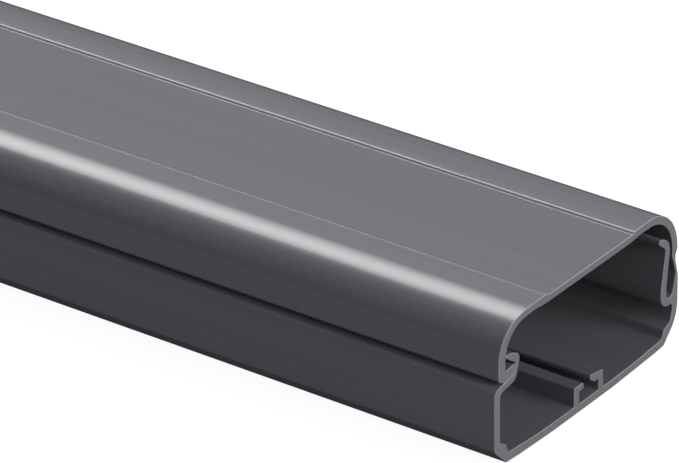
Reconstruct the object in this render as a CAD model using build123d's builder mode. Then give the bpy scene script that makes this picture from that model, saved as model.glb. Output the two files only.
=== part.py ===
"""Latching cord cover raceway: one extruded length of PVC duct with a living hinge.

The duct runs along X. Its section lies in the YZ plane: the latch is on the -Y side, the hinge on the +Y
side, and the flat band of the floor rests on Z = 0. All sizes are in millimetres.
"""

import os
from math import atan2, hypot, pi, tan

from build123d import *

# Overall sizes
length = 400.0
width = 57.0
height = 28.4
cover_depth = 14.15

# Wall thicknesses
base_wall = 1.65
floor_thickness = 1.6
cover_thickness = 1.55
latch_wall = 2.0

# Floor: a flat band that rests on the surface, and two wings that rise to the feet of the chamfers
wing_run = 9.6
wing_rise = 0.8
wing_radius = 160.0
near_chamfer = 3.5
far_chamfer = 4.3
foot_radius = 0.7
near_chamfer_radius = 1.0
far_chamfer_radius = 7.0

# Nib along the inside of each chamfer: heights are from the floor's lowest line, runs from the wall's inside
near_nib_top = 5.35
near_nib_crest_run = 1.85
near_nib_crest_height = 4.25
near_nib_foot_run = 2.6
far_nib_top = 7.15
far_nib_bend_run = 0.65
far_nib_bend_height = 4.8
far_nib_crest_run = 2.65
far_nib_crest_height = 4.0
far_nib_foot_run = 3.25
nib_radius = 0.5
nib_root_radius = 0.6
nib_top_radius = 0.8

# Living hinge: a thin neck in the far wall, with a waist in the outer face above it
hinge_neck = 0.65
hinge_notch_radius = 0.15
hinge_bulge_drop = 0.8
hinge_bulge_radius = 3.0
waist_depth = 0.85
waist_low = 2.5
waist_high = 3.5
waist_radius = 0.9
waist_step = 1.0
waist_step_radius = 0.5
notch_top = 3.4
notch_top_radius = 1.2
notch_foot = 2.5
notch_foot_wall = 1.2

# Cover: rounded shoulders set back from the base, slightly crowned bands, and a flat recess between two ridges
far_setback = 0.3
far_shoulder_radius = 9.0
far_band_run = 3.25
far_band_radius = 90.0
far_ridge_inset = 14.15
far_ridge_fall = 0.1
far_ridge_run = 0.48
recess_depth = 0.44
recess_radius = 0.5
near_ridge_inset = 15.4
near_ridge_fall = 0.02
near_ridge_run = 0.9
ridge_radius = 1.0
near_band_run = 4.9
near_band_fall = 0.09
near_band_radius = 60.0
near_setback = 1.25
near_shoulder_radius = 7.6
near_shoulder_fall = 0.66
near_inner_radius = 6.0
near_inner_fall = 0.45
under_ridge_inset = 12.0
under_slope_run = 3.6
under_slope_fall = 0.3
under_radius = 4.0

# Near wall of the base: its shoulder turns inwards as the seat of the cover, above the hinge's height
shoulder_rise = 1.85
shoulder_radius = 1.6
seat_run = 5.6
seat_rise = 1.0
seat_thickness = 1.35
seat_under_radius = 1.2

# Latch hook: it stands on the end of the seat and curls back over the nose to the cover's wall
hook_root_radius = 0.8
hook_back_run = 0.85
hook_back_radius = 2.0
hook_lean = 0.75
hook_rise = 2.1
hook_crown_run = 1.4
hook_crown_rise = 1.2
hook_crown_radius = 1.4
hook_dome_run = 1.25
hook_dome_rise = 2.4
hook_dome_radius = 3.0
hook_tip_rise = 2.05
hook_tip_slant = 0.1
hook_tip_thickness = 0.51
hook_tip_radius = 0.3
pocket_radius = 0.3

# Latch nose: the cover's lip and the barb that snaps in under the hook
lip_rise = 3.15
lip_radius = 1.1
nose_heel = 1.6
nose_heel_radius = 0.3
nose_radius = 0.7
nose_tip_play = 0.28
nose_tip_radius = 0.15
nose_back_rise = 4.5
nose_back_radius = 0.3
latch_clearance = 0.1

# Guard fin inside the far wall: its foot is below the hinge, and its stem leans out and curls over above it
fin_foot_drop = 5.9
fin_foot_thickness = 1.55
fin_foot_radius = 2.6
fin_gusset = 0.5
fin_groove_width = 2.0
fin_groove_slant = 0.25
fin_groove_radius = 0.85
fin_thickness = 1.75
fin_bend_drop = 2.0
fin_bend_radius = 6.0
fin_lean = 1.45
fin_throat_rise = 5.9
fin_throat_radius = 1.2
fin_crown_reach = 3.0
fin_crown_rise = 7.3
fin_crown_radius = 3.0
fin_lip_reach = 0.75
fin_lip_slant = 0.15
fin_lip_rise = 7.7
fin_lip_thickness = 0.95
fin_lip_radius = 0.3

# Track in the middle of the floor: two ribs whose lips face each other over a slot
track_y = 0.45
track_width = 6.0
near_rib_wall = 1.6
near_rib_height = 5.35
near_lip_reach = 1.3
near_lip_thickness = 1.2
far_rib_wall = 1.45
far_rib_height = 5.15
far_lip_reach = 2.65
far_lip_rise = 0.65
far_lip_thickness = 1.3
far_lip_tip = 0.95
far_lip_knee = 1.2
rib_radius = 0.35
rib_foot_radius = 0.25

# Lines that the outlines share
near_y = -width / 2
far_y = width / 2
near_inner_y = near_y + base_wall
far_inner_y = far_y - base_wall
hinge_height = height - cover_depth
shoulder_height = hinge_height + shoulder_rise
recess_height = height - recess_depth


def corner_reach(before, corner, after, radius):
    """Length that a corner's arc takes from each of its two legs."""
    turn_in = atan2(corner[1] - before[1], corner[0] - before[0])
    turn_out = atan2(after[1] - corner[1], after[0] - corner[0])
    turn = abs((turn_out - turn_in + pi) % (2 * pi) - pi)
    return radius * tan(turn / 2)


def fitted_radii(corners):
    """Radii of the corners, smaller only where two arcs would overlap on the leg between them."""
    count = len(corners)
    after = corners[1:] + corners[:1]
    reach = [corner_reach(corners[i - 1], corners[i], after[i], corners[i][2]) for i in range(count)]
    share = [1.0] * count
    for i in range(count):
        leg = hypot(corners[i][0] - corners[i - 1][0], corners[i][1] - corners[i - 1][1])
        wanted = reach[i] + reach[i - 1]
        if wanted > 0.98 * leg:
            share[i] = min(share[i], 0.98 * leg / wanted)
            share[i - 1] = min(share[i - 1], 0.98 * leg / wanted)
    return [corners[i][2] * share[i] for i in range(count)]


def rounded_outline(corners):
    """Draw a closed line through (y, z, radius) corners, each rounded by its own radius."""
    FilletPolyline(*[(y, z) for y, z, _ in corners], radius=fitted_radii(corners), close=True)


def seat_height(y):
    """Height of the sloping seat that the cover's lip closes on."""
    return shoulder_height + seat_rise * (y - near_y) / seat_run


# Base, outside: down the near wall, along the bowed floor and up the far wall
near_bend_y = near_y + near_chamfer + wing_run
far_bend_y = far_y - far_chamfer - wing_run
base_outside = [
    (near_y, shoulder_height, shoulder_radius),
    (near_y, wing_rise + near_chamfer, near_chamfer_radius),
    (near_y + near_chamfer, wing_rise, foot_radius),
    (near_bend_y, 0, wing_radius),
    (far_bend_y, 0, wing_radius),
    (far_y - far_chamfer, wing_rise, foot_radius),
    (far_y, wing_rise + far_chamfer, far_chamfer_radius),
]

# Hinge, outside: the wall bulges at the neck, draws in to the waist and steps out to the cover
cover_far_y = far_y - far_setback
hinge_outside = [
    (far_y, hinge_height - hinge_bulge_drop, hinge_bulge_radius),
    (far_y - waist_depth, hinge_height + waist_low, waist_radius),
    (far_y - waist_depth, hinge_height + waist_high, waist_step_radius),
    (cover_far_y, hinge_height + waist_high + waist_step, waist_step_radius),
]

# Cover, outside: over the far shoulder, across the recess and down to the lip at the latch
cover_near_y = near_y + near_setback
far_ridge_y = far_y - far_ridge_inset
near_ridge_y = near_y + near_ridge_inset
cover_outside = [
    (cover_far_y, height, far_shoulder_radius),
    (far_ridge_y + far_band_run, height, far_band_radius),
    (far_ridge_y, height - far_ridge_fall, ridge_radius),
    (far_ridge_y - far_ridge_run, recess_height, recess_radius),
    (near_ridge_y + near_ridge_run, recess_height, recess_radius),
    (near_ridge_y, height - near_ridge_fall, ridge_radius),
    (near_ridge_y - near_band_run, height - near_band_fall, near_band_radius),
    (cover_near_y, height - near_shoulder_fall, near_shoulder_radius),
    (cover_near_y, hinge_height + lip_rise, lip_radius),
]

# Latch nose: it lies on the seat and its tip points up into the pocket under the hook
hook_root_y = near_y + seat_run
hook_root_z = seat_height(hook_root_y)
pocket_y = hook_root_y + hook_lean
pocket_z = hook_root_z + hook_rise
cover_near_inner_y = cover_near_y + latch_wall
nose_heel_y = cover_near_y + nose_heel
latch_nose = [
    (nose_heel_y, seat_height(nose_heel_y) + latch_clearance, nose_heel_radius),
    (hook_root_y - latch_clearance, hook_root_z + latch_clearance, nose_radius),
    (pocket_y - nose_tip_play, pocket_z - latch_clearance, nose_tip_radius),
    (cover_near_inner_y, hinge_height + nose_back_rise, nose_back_radius),
]

# Cover, inside: up the near wall, under the top and down the far wall to the hinge notch
under_height = height - cover_thickness
cover_far_inner_y = cover_far_y - cover_thickness
cover_inside = [
    (cover_near_inner_y, under_height - near_inner_fall, near_inner_radius),
    (near_y + under_ridge_inset, under_height, under_radius),
    (near_y + under_ridge_inset + under_slope_run, under_height - under_slope_fall, under_radius),
    (far_y - under_ridge_inset - under_slope_run, under_height - under_slope_fall, under_radius),
    (far_y - under_ridge_inset, under_height, under_radius),
    (cover_far_inner_y, under_height, far_shoulder_radius - cover_thickness),
    (cover_far_inner_y, hinge_height + notch_top, notch_top_radius),
]

# Base, inside: from the notch down the far wall, over the nibs and the floor, and up to the seat
notch_foot_y = far_y - notch_foot_wall
notch_foot_z = hinge_height - notch_foot
floor_foot_z = wing_rise + floor_thickness
base_inside = [
    (far_y - hinge_neck, hinge_height, hinge_notch_radius),
    (notch_foot_y, notch_foot_z, 0),
    (far_inner_y, far_nib_top, nib_top_radius),
    (far_inner_y - far_nib_bend_run, far_nib_bend_height, nib_top_radius),
    (far_inner_y - far_nib_crest_run, far_nib_crest_height, nib_radius),
    (far_inner_y - far_nib_foot_run, floor_foot_z, nib_root_radius),
    (far_bend_y, floor_thickness, wing_radius),
    (near_bend_y, floor_thickness, wing_radius),
    (near_inner_y + near_nib_foot_run, floor_foot_z, nib_root_radius),
    (near_inner_y + near_nib_crest_run, near_nib_crest_height, nib_radius),
    (near_inner_y, near_nib_top, nib_top_radius),
    (near_inner_y, seat_height(near_inner_y) - seat_thickness, seat_under_radius),
]

# Latch hook: up its back, over its crown to the tip, and down its front to the seat
hook_tip_y = cover_near_inner_y + latch_clearance
hook_tip_z = pocket_z + hook_tip_rise
latch_hook = [
    (hook_root_y + hook_back_run, hook_root_z - seat_thickness, hook_back_radius),
    (pocket_y + hook_crown_run, pocket_z + hook_crown_rise, hook_crown_radius),
    (pocket_y - hook_dome_run, pocket_z + hook_dome_rise, hook_dome_radius),
    (hook_tip_y + hook_tip_slant, hook_tip_z + hook_tip_thickness, hook_tip_radius),
    (hook_tip_y, hook_tip_z, hook_tip_radius / 3),
    (pocket_y, pocket_z, pocket_radius),
    (hook_root_y, hook_root_z, hook_root_radius),
]

# Guard fin: around its foot, up the stem, around the curled lip and down into the groove behind it
fin_y = far_inner_y - fin_groove_width - fin_thickness
fin_back_y = fin_y + fin_thickness
fin_foot_z = hinge_height - fin_foot_drop
fin_bend_z = hinge_height - fin_bend_drop
fin_lip_y = fin_y - fin_lip_reach
fin_lip_z = hinge_height + fin_lip_rise
groove_floor_z = fin_foot_z + fin_foot_thickness
inside_far_wall_y = far_y - base_wall / 2
guard_fin = [
    (inside_far_wall_y, fin_foot_z - fin_gusset, 0),
    (far_inner_y, fin_foot_z - fin_gusset, 0),
    (far_inner_y - fin_gusset, fin_foot_z, fin_gusset),
    (fin_y, fin_foot_z, fin_foot_radius),
    (fin_y, fin_bend_z, fin_bend_radius),
    (fin_y + fin_lean, hinge_height + fin_throat_rise, fin_throat_radius),
    (fin_lip_y, fin_lip_z, fin_lip_radius / 2),
    (fin_lip_y + fin_lip_slant, fin_lip_z + fin_lip_thickness, fin_lip_radius),
    (fin_y + fin_crown_reach, hinge_height + fin_crown_rise, fin_crown_radius),
    (fin_back_y, fin_bend_z, fin_bend_radius),
    (fin_back_y, groove_floor_z, fin_groove_radius),
    (far_inner_y - fin_groove_slant, groove_floor_z, fin_groove_radius),
    (notch_foot_y, notch_foot_z, 0),
    (inside_far_wall_y, notch_foot_z, 0),
]

# Track: the near rib has a short flat lip, and the far rib a long lip that rises to its tip
slot_near_y = track_y - track_width / 2
slot_far_y = track_y + track_width / 2
inside_floor_z = floor_thickness / 2
near_lip_y = slot_near_y + near_lip_reach
near_rib = [
    (slot_near_y - near_rib_wall, inside_floor_z, 0),
    (slot_near_y - near_rib_wall, near_rib_height, rib_radius),
    (near_lip_y, near_rib_height, rib_radius),
    (near_lip_y, near_rib_height - near_lip_thickness, rib_radius),
    (slot_near_y, near_rib_height - near_lip_thickness, rib_radius),
    (slot_near_y, inside_floor_z, 0),
]
far_lip_y = slot_far_y - far_lip_reach
far_lip_z = far_rib_height + far_lip_rise
far_rib = [
    (slot_far_y + far_rib_wall, inside_floor_z, 0),
    (slot_far_y + far_rib_wall, far_rib_height, rib_radius),
    (far_lip_y, far_lip_z, rib_radius),
    (far_lip_y, far_lip_z - far_lip_tip, rib_radius),
    (slot_far_y - far_lip_knee, far_rib_height - far_lip_thickness, rib_radius),
    (slot_far_y, far_rib_height - far_lip_thickness, rib_radius),
    (slot_far_y, inside_floor_z, 0),
]
rib_feet_y = (slot_near_y - near_rib_wall, slot_near_y, slot_far_y, slot_far_y + far_rib_wall)


def is_rib_foot(vertex):
    """True for the four points of the sketch where a rib's side meets the top of the floor."""
    beside_rib = any(abs(vertex.X - y) < 0.01 for y in rib_feet_y)
    return beside_rib and abs(vertex.Y - floor_thickness) < rib_foot_radius


with BuildPart() as raceway:
    with BuildSketch(Plane.YZ.offset(-length / 2)) as section:
        with BuildLine():
            rounded_outline(
                base_outside + hinge_outside + cover_outside + latch_nose + cover_inside + base_inside
                + latch_hook
            )
        make_face()
        for branch in (guard_fin, near_rib, far_rib):
            with BuildLine():
                rounded_outline(branch)
            make_face()
        fillet(section.vertices().filter_by(is_rib_foot), radius=rib_foot_radius)
    extrude(amount=length)

os.makedirs("parts", exist_ok=True)
raceway.part.label = "raceway"
export_step(raceway.part, "parts/raceway.step")
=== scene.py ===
# %% [markdown]
# # A length of cord cover raceway
#
# The real object is one length of rigid PVC, pushed hot through a die and sawn square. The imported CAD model
# gives its shape and place. This notebook gives it the finish of the real one: rounded sawn edges, the
# satin of the die, and studio light. Everything is in metres, with X along the duct, Y towards the hinge
# and Z up.

from math import atan2, ceil, cos, degrees, pi, radians, sin, tan

import bmesh
import bpy
from mathutils import Matrix, Quaternion, Vector


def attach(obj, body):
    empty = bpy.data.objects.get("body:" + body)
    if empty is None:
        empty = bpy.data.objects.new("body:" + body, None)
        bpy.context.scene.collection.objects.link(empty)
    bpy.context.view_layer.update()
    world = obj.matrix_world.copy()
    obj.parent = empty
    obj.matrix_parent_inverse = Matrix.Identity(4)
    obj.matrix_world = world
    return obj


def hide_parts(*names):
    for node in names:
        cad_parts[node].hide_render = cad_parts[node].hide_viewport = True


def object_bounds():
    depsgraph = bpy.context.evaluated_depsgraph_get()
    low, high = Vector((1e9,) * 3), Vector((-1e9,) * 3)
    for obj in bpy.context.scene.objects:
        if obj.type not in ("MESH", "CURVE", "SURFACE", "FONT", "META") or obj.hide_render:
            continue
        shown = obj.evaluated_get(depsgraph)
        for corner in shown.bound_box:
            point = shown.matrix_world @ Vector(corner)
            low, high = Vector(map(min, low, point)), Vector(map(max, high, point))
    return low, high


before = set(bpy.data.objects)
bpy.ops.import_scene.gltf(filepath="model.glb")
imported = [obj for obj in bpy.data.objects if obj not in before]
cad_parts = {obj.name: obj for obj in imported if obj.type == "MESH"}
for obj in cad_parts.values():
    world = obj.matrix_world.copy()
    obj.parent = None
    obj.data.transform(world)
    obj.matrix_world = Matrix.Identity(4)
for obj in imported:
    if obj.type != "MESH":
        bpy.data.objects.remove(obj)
cad_low, cad_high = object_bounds()
print("CAD box in mm:", [round(1000 * v, 2) for v in (*cad_low, *cad_high)])

# %% [markdown]
# ## Camera
#
# The photograph was taken with a long lens, so the duct's parallel edges hardly draw together. The camera
# stands to the right, in front and above, and looks through the open end. It could be placed with a Track
# To constraint, but the other views move it, so its place and turn are plain values: it looks at one point,
# then rolls a little.

# %% Place the camera
camera_place = Vector((0.7207, -0.7802, 0.5456))
camera_aim = Vector((0.14658, 0.0, 0.01815))
camera_roll = radians(0.732)
sensor_width = 36.0
lens = 328.3

camera_data = bpy.data.cameras.new("photo_camera")
camera_data.sensor_width = sensor_width
camera_data.lens = lens
camera = bpy.data.objects.new("photo_camera", camera_data)
bpy.context.scene.collection.objects.link(camera)
bpy.context.scene.camera = camera

look = (camera_aim - camera_place).normalized()
camera.location = camera_place
camera.rotation_mode = "QUATERNION"
camera.rotation_quaternion = Quaternion(look, camera_roll) @ look.to_track_quat("-Z", "Y")
print("camera distance in m:", round((camera_aim - camera_place).length, 3))

# %% [markdown]
# ## The section, as a drawing
#
# An extruded length is its section, moved along a line. So the section comes first, as a list of corners in
# millimetres: y, z and the radius that rounds the corner. The list runs once round the outline, so the
# floor, the hinge, the cover and the latch are one closed line, as they are one piece of plastic.
#
# The width and the height come from the CAD box. What is shared between corners has a name, so that a wall
# or a floor is set in one place. The outside of the base comes first. The floor rests on a flat band in its
# middle and bows up to the chamfers.

# %% Outside of the base
half_width = round(1000 * cad_high.y, 3)
height = round(1000 * cad_high.z, 3)
near_band_edge = -15.4
far_band_edge = 14.6
bow_radius = 160.0
near_chamfer = 3.5
far_chamfer = 4.3
chamfer_radius = 0.7
base_outside = [
    (-half_width, 16.1, 1.6), (-half_width, 4.2, 1.0), (near_chamfer - half_width, 0.6, chamfer_radius),
    (near_band_edge, 0.0, bow_radius), (far_band_edge, 0.0, bow_radius),
    (half_width - far_chamfer, 0.8, chamfer_radius), (half_width, 5.1, 7.0),
]
print("width and height in mm:", 2 * half_width, height, "- base outside:", len(base_outside), "corners")

# %% [markdown]
# The far wall thins to a neck, which is the living hinge. Outside, the neck shows as a waist, one
# millimetre high, and the cover steps out again above it.

# %% Outside of the hinge
waist = 27.65
waist_bottom = 16.75
waist_height = 1.0
cover_far_face = 28.2
hinge_outside = [
    (half_width, 13.45, 3.0), (waist, waist_bottom, 0.9), (waist, waist_bottom + waist_height, 0.5),
    (cover_far_face, waist_bottom + 2 * waist_height, 0.5),
]
print("hinge outside:", len(hinge_outside), "corners")

# %% [markdown]
# The cover's top is measured down from its highest line. Between two low ridges lies a recess, less than
# half a millimetre deep. Each ridge catches the light as a thin line, so its small corners matter more than
# their size suggests. Beyond the near ridge the top falls gently into the near shoulder, and the wall ends
# in the lip.

# %% Outside of the cover
cover_near_face = -27.25
far_ridge = [(16.2, height - 0.06, 40.0), (14.3, height - 0.15, 1.0), (13.8, height - 0.48, 0.5)]
near_ridge = [(-12.15, height - 0.46, 0.3), (-12.95, height - 0.015, 0.35), (-13.5, height - 0.06, 0.6)]
cover_outside = [
    (cover_far_face, height, 9.0), (18.3, height, 50.0), *far_ridge,
    *near_ridge, (-16.6, height - 0.075, 60.0), (-19.9, height - 0.26, 15.0),
    (cover_near_face, height - 1.85, 7.1), (cover_near_face, 17.4, 1.1),
]
print("cover outside:", len(cover_outside), "corners")

# %% [markdown]
# Inside, the nose of the cover lies on the seat, and the roof leads to the notch behind the hinge. The roof
# is a little lower under the recess, so the wall stays nearly as thick there.

# %% Latch nose and inside of the cover
cover_near_inside = -25.25
cover_far_inside = 26.65
roof = height - 1.55
recess_roof = roof - 0.3
recess_inside = 12.9
roof_inside = 16.5
roof_radius = 4.0
latch_nose = [
    (-25.65, 16.709, 0.3), (-23.0, 17.2, 0.7), (-22.43, 19.1, 0.15), (cover_near_inside, 18.75, 0.3),
]
cover_inside = [
    (cover_near_inside, 26.4, 6.0),
    (-roof_inside, roof, roof_radius), (-recess_inside, recess_roof, roof_radius),
    (recess_inside, recess_roof, roof_radius), (roof_inside, roof, roof_radius),
    (cover_far_inside, roof, 7.45), (cover_far_inside, 17.65, 1.2), (27.85, 14.25, 0.15), (27.3, 11.75, 0.0),
]
print("nose and cover inside:", len(latch_nose) + len(cover_inside), "corners")

# %% [markdown]
# The guard fin keeps cords away from the hinge. It grows from the far wall, with a round groove behind it,
# leans outwards and curls over at its top.

# %% Guard fin
base_wall = 1.65
wall_inside = half_width - base_wall
groove_bottom = 9.9
groove_radius = 0.85
fin_underside = 8.35
fin_outer_face = 24.85
fin_inner_face = 23.1
fin_bend = 12.25
fin_bend_radius = 6.0
guard_fin = [
    (26.6, groove_bottom, groove_radius), (fin_outer_face, groove_bottom, groove_radius),
    (fin_outer_face, fin_bend, fin_bend_radius), (26.1, 21.55, 3.0), (22.5, 22.9, 0.3), (22.35, 21.95, 0.15),
    (24.55, 20.15, 1.2), (fin_inner_face, fin_bend, fin_bend_radius), (fin_inner_face, fin_underside, 2.6),
    (26.35, fin_underside, 0.5), (wall_inside, 7.85, 0.0),
]
print("guard fin:", len(guard_fin), "corners")

# %% [markdown]
# A nib runs along the inside of each chamfer, and two ribs with lips make a track in the middle of the
# floor. The far rib's lip leans, as the photograph shows, and the near one is square.

# %% Floor with nibs and track
floor_top = 1.6
nib_radius = 0.8
rib_foot = 0.25
rib_edge = 0.35
far_floor = [
    (wall_inside, 7.15, nib_radius), (26.2, 4.8, nib_radius), (24.2, 4.0, 0.5), (23.6, 2.4, 0.6),
    (far_band_edge, floor_top, bow_radius),
]
far_rib = [
    (4.9, floor_top, rib_foot), (4.9, 5.15, rib_edge), (0.8, 5.8, rib_edge), (0.8, 4.85, rib_edge),
    (2.25, 3.85, rib_edge), (3.45, 3.85, rib_edge), (3.45, floor_top, rib_foot),
]
near_rib = [
    (-2.55, floor_top, rib_foot), (-2.55, 4.15, rib_edge), (-1.25, 4.15, rib_edge),
    (-1.25, 5.35, rib_edge), (-4.15, 5.35, rib_edge), (-4.15, floor_top, rib_foot),
]
near_floor = [
    (near_band_edge, floor_top, bow_radius), (-24.25, 2.4, 0.6), (-25.0, 4.25, 0.5),
    (-wall_inside, 5.35, nib_radius), (-wall_inside, 15.045, 1.2),
]
print("floor inside:", len(far_floor + far_rib + near_rib + near_floor), "corners")

# %% [markdown]
# The base's own hook stands on the end of the seat and curls back over the nose. Its tip is the thinnest
# part of the latch, half a millimetre, because it has to spring when the cover snaps shut.

# %% Latch hook
latch_hook = [
    (-22.05, 15.75, 2.0), (-20.75, 20.4, 1.4), (-23.4, 21.6, 3.0), (-25.05, 21.76, 0.3), (-25.15, 21.25, 0.1),
    (-22.15, 19.2, 0.3), (-22.9, 17.1, 0.8),
]
section_corners = (
    base_outside + hinge_outside + cover_outside + latch_nose + cover_inside + guard_fin
    + far_floor + far_rib + near_rib + near_floor + latch_hook
)
print("whole section:", len(section_corners), "corners")

# %% [markdown]
# ## Drawing with a pen
#
# The outline could be a bevelled polygon, but a vertex bevel only makes a true circle at a right angle.
# Instead one vertex is the pen. Extrude draws a straight run from it, and Spin turns it about the centre of
# each corner's arc, which is exactly how a draughtsman rounds a corner with compasses. A wide arc gets fine
# steps and a small one fewer, so every curve looks round from close by without wasting faces.

# %% Pen for straight runs and arcs
mm = 0.001
wide_step = radians(5.0)
small_step = radians(15.0)
small_radius = 1.5

def corner_arc(before, corner, after):
    """Where a corner's arc starts, its centre, and the angle it turns through."""
    point = Vector(corner[:2])
    inwards = (point - Vector(before[:2])).normalized()
    outwards = (Vector(after[:2]) - point).normalized()
    turn = atan2(inwards.cross(outwards), inwards.dot(outwards))
    start = point - inwards * corner[2] * tan(abs(turn) / 2)
    side = Vector((-inwards.y, inwards.x)) * (1 if turn > 0 else -1)
    return start, start + side * corner[2], turn

def draw_line(bm, pen, place):
    """Extrude the pen's vertex to a new place and return the new pen."""
    grown = bmesh.ops.extrude_vert_indiv(bm, verts=[pen])["verts"][0]
    grown.co = place
    return grown

def draw_arc(bm, pen, centre, turn, step):
    """Spin the pen's vertex about a centre and return the new pen."""
    steps = max(1, ceil(abs(turn) / step))
    spun = bmesh.ops.spin(
        bm, geom=[pen], cent=centre, axis=(1, 0, 0), dvec=(0, 0, 0), angle=turn, steps=steps, use_merge=False
    )
    return next(part for part in spun["geom_last"] if isinstance(part, bmesh.types.BMVert))

first_turn = corner_arc(section_corners[-1], *section_corners[:2])[2]
print("the first corner turns through", round(abs(degrees(first_turn))), "degrees")

# %% Draw the section on the plane of the left end
def draw_section(bm, corners, x):
    """Draw a closed outline of rounded corners on the plane at x."""
    first = pen = None
    for before, corner, after in zip(corners[-1:] + corners[:-1], corners, corners[1:] + corners[:1]):
        start, centre, turn = corner_arc(before, corner, after)
        place = (x, start.x * mm, start.y * mm)
        if pen is None:
            first = pen = bm.verts.new(place)
        else:
            pen = draw_line(bm, pen, place)
        if corner[2] > 0:
            step = wide_step if corner[2] > small_radius else small_step
            pen = draw_arc(bm, pen, (x, centre.x * mm, centre.y * mm), turn, step)
    bm.edges.new((pen, first))

raceway_mesh = bmesh.new()
draw_section(raceway_mesh, section_corners, cad_low.x)
print("section points:", len(raceway_mesh.verts))

# %% [markdown]
# ## From section to length
#
# The closed line becomes one face, and that face is extruded along X to the far end of the CAD box. Keeping
# the first face closes the duct's left end.

# %% Fill the section and extrude it
length = cad_high.x - cad_low.x
bmesh.ops.contextual_create(raceway_mesh, geom=raceway_mesh.edges[:])
end_face = raceway_mesh.faces[:]
extruded = bmesh.ops.extrude_face_region(raceway_mesh, geom=end_face, use_keep_orig=True)
moved = [part for part in extruded["geom"] if isinstance(part, bmesh.types.BMVert)]
bmesh.ops.translate(raceway_mesh, verts=moved, vec=(length, 0, 0))
bmesh.ops.recalc_face_normals(raceway_mesh, faces=raceway_mesh.faces[:])
print("length in mm:", round(1000 * length, 1), "faces:", len(raceway_mesh.faces))

# %% [markdown]
# ## Sawn ends
#
# A saw leaves a square end whose edge is broken by a touch of a file. That narrow rounding is what catches
# the light and draws the whole section in the photograph. A bevel of a seventh of a millimetre goes round
# both ends.

# %% Round the edges of the ends
arris = 0.14 * mm
arris_steps = 3
nearly_endwise = 0.9

def is_endwise(face):
    """True for a face that lies across the duct."""
    return abs(face.normal.x) > nearly_endwise

raceway_mesh.normal_update()
rim = [edge for edge in raceway_mesh.edges if len({is_endwise(face) for face in edge.link_faces}) == 2]
bmesh.ops.bevel(
    raceway_mesh, geom=rim, offset=arris, offset_type="OFFSET", segments=arris_steps, profile=0.5,
    affect="EDGES", clamp_overlap=False, material=-1,
)
print("rim edges:", len(rim), "faces after the bevel:", len(raceway_mesh.faces))

# %% [markdown]
# ## The finished piece
#
# All faces are shaded smooth, with a sharp line only where two faces meet at more than 40 degrees. Between
# the large flat walls and the small roundings, plain smooth shading would bend the light over the flats. A
# Weighted Normal modifier lets the large faces win, so a flat wall stays flat up to its corner.

# %% Make the piece
sharp_from = radians(40)
for face in raceway_mesh.faces:
    face.smooth = True
duct_mesh = bpy.data.meshes.new("pvc_duct")
raceway_mesh.to_mesh(duct_mesh)
raceway_mesh.free()
duct_mesh.set_sharp_from_angle(angle=sharp_from)
duct = bpy.data.objects.new("pvc_duct", duct_mesh)
bpy.context.scene.collection.objects.link(duct)
even_shading = duct.modifiers.new("even_shading", "WEIGHTED_NORMAL")
even_shading.mode = "FACE_AREA"
even_shading.weight = 100
even_shading.keep_sharp = True
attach(duct, "root")
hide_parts("raceway")
print("duct triangles:", sum(len(face.vertices) - 2 for face in duct_mesh.polygons))

# %% [markdown]
# ## The finish of the plastic
#
# Rigid PVC leaves the die with a satin skin. Under it the colour is even, but the die draws very fine lines
# along the length, and the skin has a grain that only shows where a lamp glances off it. The ends are sawn,
# so they are duller and a little lighter. Two materials share one group for the grain. All patterns follow
# Object coordinates, so they keep their size on the real part.

# %% Helpers for shader nodes
def add_node(tree, kind, **settings):
    """Add a node and set its plain properties."""
    node = tree.nodes.new(kind)
    for name, value in settings.items():
        setattr(node, name, value)
    return node

def plug(tree, socket, value):
    """Link a socket into an input, or set the input to a plain value."""
    if isinstance(value, bpy.types.NodeSocket):
        tree.links.new(value, socket)
    else:
        socket.default_value = value

def set_math(tree, operation, *values):
    """Add a Math node whose inputs are sockets or numbers, and return its output."""
    node = add_node(tree, "ShaderNodeMath", operation=operation)
    for socket, value in zip(node.inputs, values):
        plug(tree, socket, value)
    return node.outputs[0]

def split_vector(tree, vector):
    """Add a Separate XYZ node, and return its outputs."""
    node = add_node(tree, "ShaderNodeSeparateXYZ")
    plug(tree, node.inputs[0], vector)
    return node.outputs

def add_ramp(tree, value, from_range, to_range):
    """Add a smooth step from one range of values to another, and return its output."""
    node = add_node(tree, "ShaderNodeMapRange", interpolation_type="SMOOTHSTEP")
    plug(tree, node.inputs["Value"], value)
    node.inputs["From Min"].default_value, node.inputs["From Max"].default_value = from_range
    node.inputs["To Min"].default_value, node.inputs["To Max"].default_value = to_range
    return node.outputs["Result"]

def mix_colour(tree, factor, first, second):
    """Add a Mix node between two colours, and return its output."""
    node = add_node(tree, "ShaderNodeMix", data_type="RGBA")
    # A Mix node has sockets for every kind of value, and those for colours are the seventh and eighth.
    for socket, value in zip((node.inputs[0], *node.inputs[6:8]), (factor, first, second)):
        plug(tree, socket, value)
    return node.outputs[2]

def add_bump(tree, height, lift):
    """Add a Bump node at half strength that lifts the surface, and return its normal."""
    node = add_node(tree, "ShaderNodeBump")
    node.inputs["Strength"].default_value = 0.5
    node.inputs["Distance"].default_value = lift
    plug(tree, node.inputs["Height"], height)
    return node.outputs["Normal"]

def mix_shaders(tree, factor, first, second):
    """Add a Mix Shader node between two shaders, and return its output."""
    node = add_node(tree, "ShaderNodeMixShader")
    for socket, value in zip(node.inputs, (factor, first, second)):
        plug(tree, socket, value)
    return node.outputs[0]

# %% [markdown]
# The grain is one noise at a fifth of a millimetre. As a group it has an input for the place and one for
# the size, so the satin skin and the coarser sawn face can each ask for their own.

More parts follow.
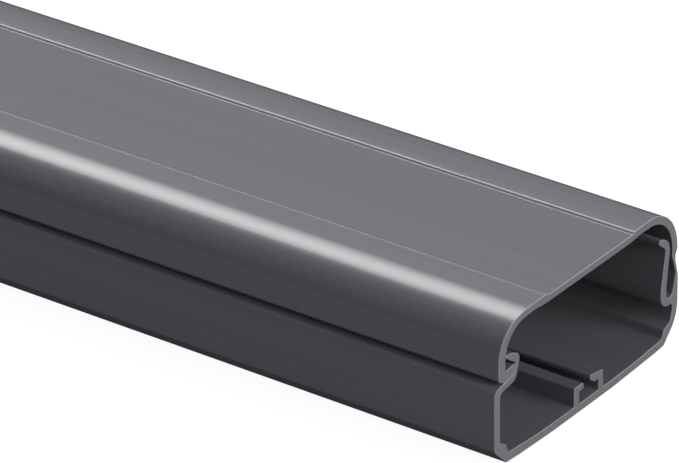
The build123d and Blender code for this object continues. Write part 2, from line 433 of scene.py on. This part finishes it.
# %% Grain group
grain_group = bpy.data.node_groups.new("plastic_grain", "ShaderNodeTree")
grain_group.interface.new_socket("Place", in_out="INPUT", socket_type="NodeSocketVector")
grain_group.interface.new_socket("Grains per Metre", in_out="INPUT", socket_type="NodeSocketFloat")
grain_group.interface.new_socket("Height", in_out="OUTPUT", socket_type="NodeSocketFloat")
grain_in = add_node(grain_group, "NodeGroupInput")
grain_out = add_node(grain_group, "NodeGroupOutput")
grain_noise = add_node(grain_group, "ShaderNodeTexNoise")
grain_noise.inputs["Detail"].default_value = 2.0
grain_noise.inputs["Roughness"].default_value = 0.6
plug(grain_group, grain_noise.inputs["Vector"], grain_in.outputs["Place"])
plug(grain_group, grain_noise.inputs["Scale"], grain_in.outputs["Grains per Metre"])
plug(grain_group, grain_out.inputs["Height"], grain_noise.outputs[0])

def add_grain(tree, place, grains_per_metre):
    """Put the grain group into a material, and return its height."""
    node = add_node(tree, "ShaderNodeGroup", node_tree=grain_group)
    plug(tree, node.inputs["Place"], place)
    plug(tree, node.inputs["Grains per Metre"], grains_per_metre)
    return node.outputs["Height"]

print("grain group nodes:", len(grain_group.nodes))

# %% [markdown]
# Die lines are the same noise idea, squeezed: the X coordinate is multiplied by a hundredth, so every spot
# is drawn out into a streak a hundred times as long as it is wide. A coarse one shades the colour and a
# fine one lifts the surface. The lift is only a few thousandths of a millimetre, and the plastic stays
# glossy enough to show a lamp as a band.

# %% Satin skin
draw_out = (0.01, 1.0, 1.0)
coarse_lines_per_metre = 260.0
fine_lines_per_metre = 2600.0
skin_grains_per_metre = 5200.0
fine_line_share = 0.7
line_range = (0.3, 0.7)
grain_range = (0.25, 0.75)
satin_dark = (0.136, 0.132, 0.149, 1)
satin_light = (0.146, 0.142, 0.159, 1)
satin_roughness = (0.215, 0.265)
satin_lift = 0.000004
plastic_ior = 1.5

satin = bpy.data.materials.new("satin_pvc")
satin.use_nodes = True
satin_tree = satin.node_tree
satin_place = add_node(satin_tree, "ShaderNodeTexCoord").outputs["Object"]
drawn_out = add_node(satin_tree, "ShaderNodeVectorMath", operation="MULTIPLY")
plug(satin_tree, drawn_out.inputs[0], satin_place)
plug(satin_tree, drawn_out.inputs[1], draw_out)

def add_die_lines(lines_per_metre, detail):
    """Add a noise that is drawn out along the duct, and return its output."""
    lines = add_node(satin_tree, "ShaderNodeTexNoise")
    lines.inputs["Scale"].default_value = lines_per_metre
    lines.inputs["Detail"].default_value = detail
    plug(satin_tree, lines.inputs["Vector"], drawn_out.outputs[0])
    return lines.outputs[0]

coarse_lines = add_die_lines(coarse_lines_per_metre, 3.0)
fine_lines = add_die_lines(fine_lines_per_metre, 2.0)
skin_grain = add_grain(satin_tree, satin_place, skin_grains_per_metre)
satin_tone = add_ramp(satin_tree, coarse_lines, line_range, (0.0, 1.0))
skin_lift = set_math(satin_tree, "MULTIPLY_ADD", fine_lines, fine_line_share, skin_grain)

satin_shader = satin_tree.nodes["Principled BSDF"]
satin_shader.inputs["IOR"].default_value = plastic_ior
satin_shader.inputs["Specular IOR Level"].default_value = 0.5
satin_colour = mix_colour(satin_tree, satin_tone, satin_dark, satin_light)
satin_gloss = add_ramp(satin_tree, skin_grain, grain_range, satin_roughness)
plug(satin_tree, satin_shader.inputs["Base Color"], satin_colour)
plug(satin_tree, satin_shader.inputs["Roughness"], satin_gloss)
plug(satin_tree, satin_shader.inputs["Normal"], add_bump(satin_tree, skin_lift, satin_lift))
print("satin nodes:", len(satin_tree.nodes))

# %% [markdown]
# A fine saw leaves faint parallel scores across the ends. The Wave texture draws them as bands, turned a
# little from the floor, with some distortion so that no two are alike. The rounded edge is painted pale,
# as a painted highlight along the rim of each end. The object normal finds that edge: on the flat end its X
# part is one, and on the rounding it drops.

# %% Sawn ends
saw_scores_scale = 420.0
saw_angle = radians(28)
score_share = 0.6
score_range = (0.3, 1.2)
edge_range = (0.75, 0.99)
sawn_grains_per_metre = 3400.0
sawn_dark = (0.170, 0.164, 0.178, 1)
sawn_light = (0.188, 0.182, 0.196, 1)
# The pale rim colour is a painted highlight on the rounded edge of the ends.
painted_rim_highlight = (0.34, 0.33, 0.35, 1)
sawn_roughness = 0.42
sawn_lift = 0.00002

sawn = bpy.data.materials.new("sawn_pvc")
sawn.use_nodes = True
sawn_tree = sawn.node_tree
sawn_coordinates = add_node(sawn_tree, "ShaderNodeTexCoord")
sawn_place = sawn_coordinates.outputs["Object"]
saw_turn = add_node(sawn_tree, "ShaderNodeMapping")
saw_turn.inputs["Rotation"].default_value = (saw_angle, 0.0, 0.0)
saw_scores = add_node(sawn_tree, "ShaderNodeTexWave", bands_direction="Y")
saw_scores.inputs["Scale"].default_value = saw_scores_scale
saw_scores.inputs["Distortion"].default_value = 3.0
saw_scores.inputs["Detail"].default_value = 2.0
plug(sawn_tree, saw_turn.inputs["Vector"], sawn_place)
plug(sawn_tree, saw_scores.inputs["Vector"], saw_turn.outputs[0])

facing = split_vector(sawn_tree, sawn_coordinates.outputs["Normal"])
endwise = set_math(sawn_tree, "ABSOLUTE", facing["X"])
# Mask of the rounded edge, where the painted highlight goes.
rim_highlight_mask = add_ramp(sawn_tree, endwise, edge_range, (1.0, 0.0))
saw_grain = add_grain(sawn_tree, sawn_place, sawn_grains_per_metre)
saw_lift = set_math(sawn_tree, "MULTIPLY_ADD", saw_scores.outputs["Fac"], score_share, saw_grain)
saw_tone = add_ramp(sawn_tree, saw_lift, score_range, (0.0, 1.0))
flat_end = mix_colour(sawn_tree, saw_tone, sawn_dark, sawn_light)

sawn_shader = sawn_tree.nodes["Principled BSDF"]
sawn_shader.inputs["IOR"].default_value = plastic_ior
sawn_shader.inputs["Roughness"].default_value = sawn_roughness
# The base colour mixes the painted highlight into the rounded edge.
plug(sawn_tree, sawn_shader.inputs["Base Color"], mix_colour(sawn_tree, rim_highlight_mask, flat_end, painted_rim_highlight))
plug(sawn_tree, sawn_shader.inputs["Normal"], add_bump(sawn_tree, saw_lift, sawn_lift))
print("sawn nodes:", len(sawn_tree.nodes))

# %% [markdown]
# A face belongs to the sawn end if its normal leans along the duct at all, so the rounded edge gets the
# sawn finish too. That is one test per face, and no painting by hand.

# %% Give each face its finish
endwise_lean = 0.2
for finish in (satin, sawn):
    duct_mesh.materials.append(finish)
for face in duct_mesh.polygons:
    face.material_index = 1 if abs(face.normal.x) > endwise_lean else 0
print("sawn faces:", sum(face.material_index for face in duct_mesh.polygons))

# %% [markdown]
# ## Studio floor
#
# A product photograph on white has a floor that is as white as the paper, with only a breath of shadow. A
# white diffuse floor would do that, but it would also throw its light back on the duct and wash out its
# dark sides. So the floor shows a different face to each kind of ray, with Light Path: the camera sees a
# glow just under white plus a little diffuse, which keeps the shadow; reflections see a dimmer, faintly
# blue sheet; all other rays see grey.
#
# The sheet that reflections see is a glow, a painted reflection of a lit floor. It is bright in front of
# the duct; painted shadow dims it beneath the duct, where no light gets in, and makes it fall off behind it,
# where the duct's own shadow lies.

# %% Lay the floor
floor_half_size = 3.0
floor_mesh = bmesh.new()
bmesh.ops.create_grid(floor_mesh, x_segments=1, y_segments=1, size=floor_half_size)
floor_data = bpy.data.meshes.new("studio_floor")
floor_mesh.to_mesh(floor_data)
floor_mesh.free()
floor = bpy.data.objects.new("studio_floor", floor_data)
bpy.context.scene.collection.objects.link(floor)
print("floor width in m:", 2 * floor_half_size)

# %% Floor material
seen_glow = 0.95
seen_grey = (0.14, 0.14, 0.14, 1)
bounce_grey = (0.2, 0.2, 0.2, 1)
sheet_colour = (0.84, 0.81, 1.0, 1)
sheet_front_to_back = (0.53, 0.05)
front_to_back_y = (-0.04, 0.06)
sheet_open_to_covered = (1.0, 0.13)
open_to_covered_y = (-0.033, -0.027)

floor_material = bpy.data.materials.new("studio_floor")
floor_material.use_nodes = True
floor_tree = floor_material.node_tree
floor_tree.nodes.clear()
floor_out = add_node(floor_tree, "ShaderNodeOutputMaterial")
floor_path = add_node(floor_tree, "ShaderNodeLightPath")
floor_bounce = add_node(floor_tree, "ShaderNodeBsdfDiffuse")
floor_bounce.inputs["Color"].default_value = bounce_grey
floor_shade = add_node(floor_tree, "ShaderNodeBsdfDiffuse")
floor_shade.inputs["Color"].default_value = seen_grey
floor_glow = add_node(floor_tree, "ShaderNodeEmission")
floor_glow.inputs["Strength"].default_value = seen_glow
floor_seen = add_node(floor_tree, "ShaderNodeAddShader")
plug(floor_tree, floor_seen.inputs[0], floor_shade.outputs[0])
plug(floor_tree, floor_seen.inputs[1], floor_glow.outputs[0])

floor_way = split_vector(floor_tree, add_node(floor_tree, "ShaderNodeTexCoord").outputs["Object"])
# These two ramps are painted shadow on the glowing sheet: behind the duct and beneath it.
sheet_fade = add_ramp(floor_tree, floor_way["Y"], front_to_back_y, sheet_front_to_back)
sheet_cover = add_ramp(floor_tree, floor_way["Y"], open_to_covered_y, sheet_open_to_covered)
floor_sheet = add_node(floor_tree, "ShaderNodeEmission")
floor_sheet.inputs["Color"].default_value = sheet_colour
plug(floor_tree, floor_sheet.inputs["Strength"], set_math(floor_tree, "MULTIPLY", sheet_fade, sheet_cover))

floor_other = mix_shaders(
    floor_tree, floor_path.outputs["Is Glossy Ray"], floor_bounce.outputs[0], floor_sheet.outputs[0]
)
floor_mix = mix_shaders(floor_tree, floor_path.outputs["Is Camera Ray"], floor_other, floor_seen.outputs[0])
plug(floor_tree, floor_out.inputs["Surface"], floor_mix)
floor_data.materials.append(floor_material)
print("floor material nodes:", len(floor_tree.nodes))

# %% [markdown]
# ## The room
#
# The camera sees plain white all round. To everything else the room is dim and even, a little brighter at
# the back and above, as a studio with a pale wall behind the set. The direction of a ray is the Generated
# coordinate of the world, so each side's share is that direction's part along Y or Z, cut off at zero.

# %% World
room_colour = (0.93, 0.95, 1.0, 1)
all_round = 0.10
room_levels = {"front": 0.08, "back": 0.26, "above": 0.12}

world = bpy.data.worlds.new("studio")
bpy.context.scene.world = world
world.use_nodes = True
world_tree = world.node_tree
world_tree.nodes.clear()
world_out = add_node(world_tree, "ShaderNodeOutputWorld")
world_path = add_node(world_tree, "ShaderNodeLightPath")
room_way = split_vector(world_tree, add_node(world_tree, "ShaderNodeTexCoord").outputs["Generated"])
to_front = set_math(world_tree, "MULTIPLY", room_way["Y"], -1.0)
room_ways = {"front": to_front, "back": room_way["Y"], "above": room_way["Z"]}
level = all_round
for side, side_level in room_levels.items():
    share = set_math(world_tree, "MAXIMUM", room_ways[side], 0.0)
    level = set_math(world_tree, "MULTIPLY_ADD", share, side_level, level)
room = add_node(world_tree, "ShaderNodeBackground")
room.inputs["Color"].default_value = room_colour
plug(world_tree, room.inputs["Strength"], level)
backdrop = add_node(world_tree, "ShaderNodeBackground")
backdrop.inputs["Color"].default_value = (1, 1, 1, 1)
world_mix = mix_shaders(world_tree, world_path.outputs["Is Camera Ray"], room.outputs[0], backdrop.outputs[0])
plug(world_tree, world_out.inputs["Surface"], world_mix)
print("room levels:", {"all round": all_round, **room_levels})

# %% [markdown]
# ## Lamps
#
# A satin skin shows its lamps, so the lamps are the drawing of the highlight. The photograph has one band
# of light along the near shoulder, even over the whole length. Its lamp must therefore be long along the
# duct and stand behind and above it. One lamp of a fixed brightness gives a band with hard shoulders, so
# the lamp is a sheet of strips. They stand side by side on an arc about the X axis, each as bright as the
# photograph's band asks for at that tilt.
#
# An area lamp's power is spread over its size. Power equal to radiance times area times pi makes it look as
# bright as a wall of that radiance, so a strip can change its size and stay as bright.

# %% Softbox helper
lit_place = Vector((0.12, 0.0, 0.02))
lamp_white = (1.0, 0.99, 0.98)
duct_way = Vector((1, 0, 0))

def add_softbox(name, direction, distance, width, height, radiance):
    """Add an area lamp that faces the duct, its width along the duct, as bright as its radiance says."""
    lamp = bpy.data.lights.new(name, "AREA")
    lamp.shape = "RECTANGLE"
    lamp.size = width
    lamp.size_y = height
    lamp.energy = radiance * pi * width * height
    lamp.color = lamp_white
    box = bpy.data.objects.new(name, lamp)
    bpy.context.scene.collection.objects.link(box)
    away = Vector(direction).normalized()
    box.location = lit_place + away * distance
    box.rotation_mode = "QUATERNION"
    along = (duct_way - away * away.x).normalized()
    box.rotation_quaternion = Matrix((along, away.cross(along), away)).transposed().to_quaternion()
    print(name, "at", [round(v, 2) for v in box.location])

# %% Key light, a sheet of strips
key_distance = 3.2
strip_length = 2.0
strip_height = 0.36
key_left = -0.527
key_reach = 0.85
key_levels = {44: 0.31, 51: 7.24, 58: 9.15, 65: 5.36, 72: 7.65, 86: 1.11}
for tilt, radiance in key_levels.items():
    key_direction = (key_left, key_reach * cos(radians(tilt)), key_reach * sin(radians(tilt)))
    add_softbox(f"key_{tilt}", key_direction, key_distance, strip_length, strip_height, radiance)

# %% [markdown]
# The sawn end faces away from the key light. Two square boxes on its side light it, and the stronger one,
# low and nearly in line with the duct, also reaches inside and shows the track and the fin.

# %% End lights
end_distance = 1.7
end_size = 1.0
end_lights = {"end_fill": ((0.90, 0.15, 0.30), 6.75), "end_front": ((0.80, -0.35, 0.50), 1.5)}
for name, (direction, radiance) in end_lights.items():
    add_softbox(name, direction, end_distance, end_size, end_size, radiance)
print("lamps:", len(bpy.data.lights))

# %% [markdown]
# The Standard view shows each colour as it was computed. A film-like curve would turn the white floor grey
# and flatten the highlight that the lamps were set for.

# %% View transform
view = bpy.context.scene.view_settings
view.view_transform = "Standard"
print("view transform:", view.view_transform, "exposure:", view.exposure)
